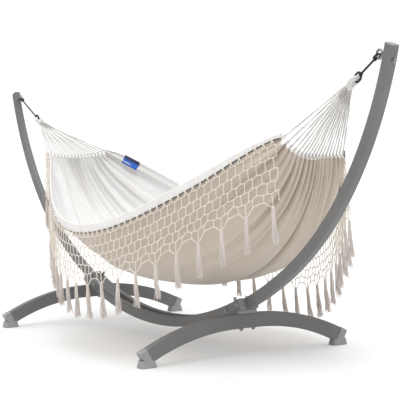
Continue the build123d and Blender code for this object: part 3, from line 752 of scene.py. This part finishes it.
nets, tassels, shadow_cords = {}, {}, {}
for name, front in (("front", True), ("rear", False)):
    wobble = random.Random(21 if front else 22)
    _, rim_curve, rim_along = rim_line(front, RIM_STEPS)

    def hang(share, drop, out=0.0):
        at = min(max(share, 0.0), 1.0) * rim_along[-1]
        x, y, z = (float(np.interp(at, rim_along, rim_curve[:, k])) for k in range(3))
        below = min(drop / NET_DEPTH, 1.0)
        lean = END_LEAN * below**1.3 * (math.exp(-(1 - share) / 0.055) - math.exp(-share / 0.055))
        return np.array((x + lean, y + (-1 if front else 1) * (NET_OUT + out), z - drop))

    cords, node_at = [], {}
    for row in range(1, NET_ROWS + 1):
        for half in range(2 * (NET_COLUMNS - 1) + 1):
            column = half / 2
            near = tassel_by(column)
            aside = min(abs(column - near) / 1.5, 1.0)
            low = max(0.0, (row - 3) / (NET_ROWS - 3))
            from_above = (half + row) % 2 == 0
            wave = (-WAVE if from_above else WAVE) * min(1, 0.4 + 0.2 * row)
            drop = row_drop(row, net_share(column)) + wave
            drop -= 0.034 * low**1.6 * aside**1.4
            if row == NET_ROWS and column == near:
                drop = NET_DEPTH + 0.002
            drop += wobble.uniform(-0.0018, 0.0018)
            share = net_share(column + 0.20 * low * (near - column)) + wobble.uniform(-0.0006, 0.0006)
            node_at[row, half] = hang(share, drop, wobble.uniform(-0.0015, 0.0015))
    last_half = 2 * (NET_COLUMNS - 1)

    def strand(points):
        cords.append(tube(evenly(route(points, 6), 0.008), NET_CORD / 2 * wobble.uniform(0.9, 1.05), 6))

    def settled(row, half):
        """Where the smooth row line passes a node, for the links that hang from it."""
        if row == NET_ROWS and half % 2 == 0 and half / 2 == tassel_by(half / 2):
            return node_at[row, half]
        beside = [node_at[row, h] for h in (half - 1, half + 1) if (row, h) in node_at]
        return 0.72 * node_at[row, half] + 0.28 * sum(beside) / len(beside)

    for row in range(1, NET_ROWS + 1):
        stops = [h for h in range(last_half + 1) if h % 2 == 0 and h / 2 == tassel_by(h / 2)]
        stops = sorted({0, *stops, last_half}) if row < NET_ROWS else stops
        for begin, finish in zip(stops, stops[1:]):
            line = [node_at[row, h] for h in range(begin, finish + 1)]
            if row < NET_ROWS:
                line[0], line[-1] = settled(row, begin), settled(row, finish)
            strand(line)
    heads = []
    for half in range(last_half + 1):
        if half % 2 == 1:
            place = net_share(half / 2)
            knot = hang(place, heading_drop(place) - 0.001, 0.0006)
            for step in (-1, 1):
                foot = 0.55 * settled(1, half) + 0.45 * node_at[1, half + step]
                strand([knot, knot * 0.6 + foot * 0.4 + (0, 0, 0.0015), foot])
            lean = np.array((wobble.uniform(-0.3, 0.3), 0, 1.0))
            ends = [knot + lean * d for d in (0.0085, 0.0050, 0.0, -0.0050, -0.0085)]
            heads.append(tube(np.array(ends), np.array((0.0020, 0.0046, 0.0040, 0.0044, 0.0018)), 8))
        for row in range(1, NET_ROWS):
            if (half + row) % 2 == 1:
                top, foot = settled(row, half), settled(row + 1, half)
                strand([top, (top + foot) / 2 + (wobble.uniform(-0.002, 0.002), 0, 0), foot])
                for place in (top, foot):
                    ends = [place + np.array((0, 0, d)) for d in (0.0042, 0.0022, -0.0022, -0.0042)]
                    cords.append(tube(np.array(ends), np.array((0.0012, 0.0031, 0.0031, 0.0012)), 6))
    nets[name] = joined("net_" + name, cords + heads, fringe_cotton)
    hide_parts("fringe_net_" + name)
    # Painted shadow: a dark grey cord under the hem stands for the shaded gap between the hem and the net,
    # and the net's white knots sit over it.
    shadow_line = rim_curve[::3] + np.array((0, (-1 if front else 1) * (NET_OUT - 0.0042), -0.0025))
    shadow_line[:, 2] -= hem_width(rim_along[::3] / rim_along[-1])
    shadow_cords[name] = joined("painted_shadow_cord_" + name, [tube(shadow_line, 0.0028, 7)], shadow_cord_grey)

    bunches = []
    for k in range(TASSEL_COUNT):
        head = hang(net_share(CELLS_PER_TASSEL * k + 1), NET_DEPTH)
        sway = np.array((0.016 + wobble.uniform(-0.010, 0.010), wobble.uniform(-0.004, 0.004), 0))
        collar = coil(head - (0, 0, 0.011), (0, 0, -1.0), (1.0, 0, 0), 0.0056, 4, 0.0040)
        bunches.append(tube(collar, 0.0021, 6))
        core = np.array([head, head - (0, 0, 0.014), head - (0, 0, 0.05) + sway * 0.2,
                         head - (0, 0, 0.12) + sway * 0.7])
        bunches.append(tube(core, np.array((0.0042, 0.0050, 0.0066, 0.0060)), 8))
        full = TASSEL_LENGTH + TASSEL_TOP / 2
        for lock in range(TASSEL_LOCKS):
            angle = lock * GOLDEN_ANGLE
            ring = math.sqrt((lock + 0.5) / TASSEL_LOCKS)
            spread = np.array((math.cos(angle), math.sin(angle), 0)) * ring
            foot = TASSEL_FOOT / 2 * wobble.uniform(0.75, 1.08)
            long = full * wobble.uniform(0.88, 1.0)
            curl, begun = wobble.uniform(0.0012, 0.0032), wobble.uniform(0, 6.28)
            control = []
            for step in range(10):
                share = step / 9
                wide = 0.0056 + (foot - 0.0056) * share**1.3
                bend = np.array((math.sin(begun + 11 * share), math.cos(begun * 2 + 9 * share), 0))
                bend = bend * curl * share**0.5
                aside_by = spread * wide + sway * share**1.4 + bend
                control.append(head + aside_by - np.array((0, 0, long * share)))
            width = 0.0019 * wobble.uniform(0.8, 1.15)
            path = evenly(route(control, 4), 0.012)
            bunches.append(tube(path, np.linspace(width, width * 0.7, len(path)), 5))
    tassels[name] = joined("tassel_bunches_" + name, bunches, strand_cotton)
    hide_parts("tassels_" + name)

# ---------------------------------------------------------------- blank label on the inside of the rear rim

label_rows, label_columns = 9, 25
share_v = 1 - LABEL_DOWN
centre = cloth_point(LABEL_AT, share_v)
along_way = cloth_point(LABEL_AT + 0.01, share_v) - cloth_point(LABEL_AT - 0.01, share_v)
along_way /= np.linalg.norm(along_way)
down_way = cloth_point(LABEL_AT, share_v - 0.02) - cloth_point(LABEL_AT, share_v + 0.02)
down_way -= along_way * (down_way @ along_way)
down_way /= np.linalg.norm(down_way)
inward = np.cross(along_way, down_way)
if inward[1] > 0:
    inward = -inward
tag = np.zeros((label_columns, label_rows, 3))
for i, a in enumerate(np.linspace(-0.5, 0.5, label_columns)):
    for j, b in enumerate(np.linspace(0.5, -0.5, label_rows)):
        lift = LABEL_LIFT + 0.0010 * math.cos(math.pi * a) * math.cos(math.pi * b) + 0.0006 * math.sin(9 * a)
        tag[i, j] = centre + along_way * a * LABEL_SIZE[0] + down_way * b * LABEL_SIZE[1] + inward * lift
tag_sheet = grid(tag, np.linspace(0, 1, label_columns), np.linspace(0, 1, label_rows))
label = joined("label_tag", [tag_sheet], label_material())
backing = label.modifiers.new("thickness", "SOLIDIFY")
backing.thickness = 0.0009
backing.offset = 0
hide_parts("label")

# ---------------------------------------------------------------- floor and light

floor_mesh = bpy.data.meshes.new("floor")
floor_mesh.from_pydata([(-60, -60, 0), (60, -60, 0), (60, 60, 0), (-60, 60, 0)], [], [(0, 1, 2, 3)])
floor = bpy.data.objects.new("floor", floor_mesh)
bpy.context.scene.collection.objects.link(floor)
floor.location.z = -0.0005
pale = Shader("pale_floor", 0.75)
mottle = pale.noise("Object", 2.0, 2.0)
pale.colour(pale.colours(mottle, [(0.3, (0.62, 0.62, 0.62)), (0.7, (0.635, 0.635, 0.635))]))
pale.principled.inputs["Emission Color"].default_value = (1, 1, 1, 1)
pale.principled.inputs["Emission Strength"].default_value = 0.26
floor_mesh.materials.append(pale.material)
floor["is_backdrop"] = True

# The studio: a dome that is brightest overhead lights the object, and a plain white backdrop is seen.
world = bpy.data.worlds.new("studio")
bpy.context.scene.world = world
world.use_nodes = True
tree = world.node_tree
sky = tree.nodes["Background"]
sky.inputs["Color"].default_value = (1, 1, 1, 1)
place = tree.nodes.new("ShaderNodeTexCoord")
split = tree.nodes.new("ShaderNodeSeparateXYZ")
tree.links.new(place.outputs["Generated"], split.inputs[0])
height = tree.nodes.new("ShaderNodeMapRange")
height.inputs["From Min"].default_value = 0.0
height.inputs["To Min"].default_value = 0.12
height.inputs["To Max"].default_value = 1.75
height.interpolation_type = "SMOOTHERSTEP"
tree.links.new(split.outputs[2], height.inputs["Value"])
tree.links.new(height.outputs["Result"], sky.inputs["Strength"])
backdrop = tree.nodes.new("ShaderNodeBackground")
backdrop.inputs["Color"].default_value = (1, 1, 1, 1)
backdrop.inputs["Strength"].default_value = 1.05
path = tree.nodes.new("ShaderNodeLightPath")
mix = tree.nodes.new("ShaderNodeMixShader")
tree.links.new(path.outputs["Is Camera Ray"], mix.inputs[0])
tree.links.new(sky.outputs[0], mix.inputs[1])
tree.links.new(backdrop.outputs[0], mix.inputs[2])
tree.links.new(mix.outputs[0], tree.nodes["World Output"].inputs["Surface"])
bpy.context.scene.view_settings.view_transform = "Standard"


def soft_sun(name, strength, angle, toward):
    data = bpy.data.lights.new(name, "SUN")
    data.energy = strength
    data.angle = math.radians(angle)
    lamp = bpy.data.objects.new(name, data)
    bpy.context.scene.collection.objects.link(lamp)
    lamp.rotation_euler = Vector(toward).to_track_quat("-Z", "Y").to_euler()


soft_sun("overhead", 0.7, 35, (-0.30, 0.30, -1.0))

low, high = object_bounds()
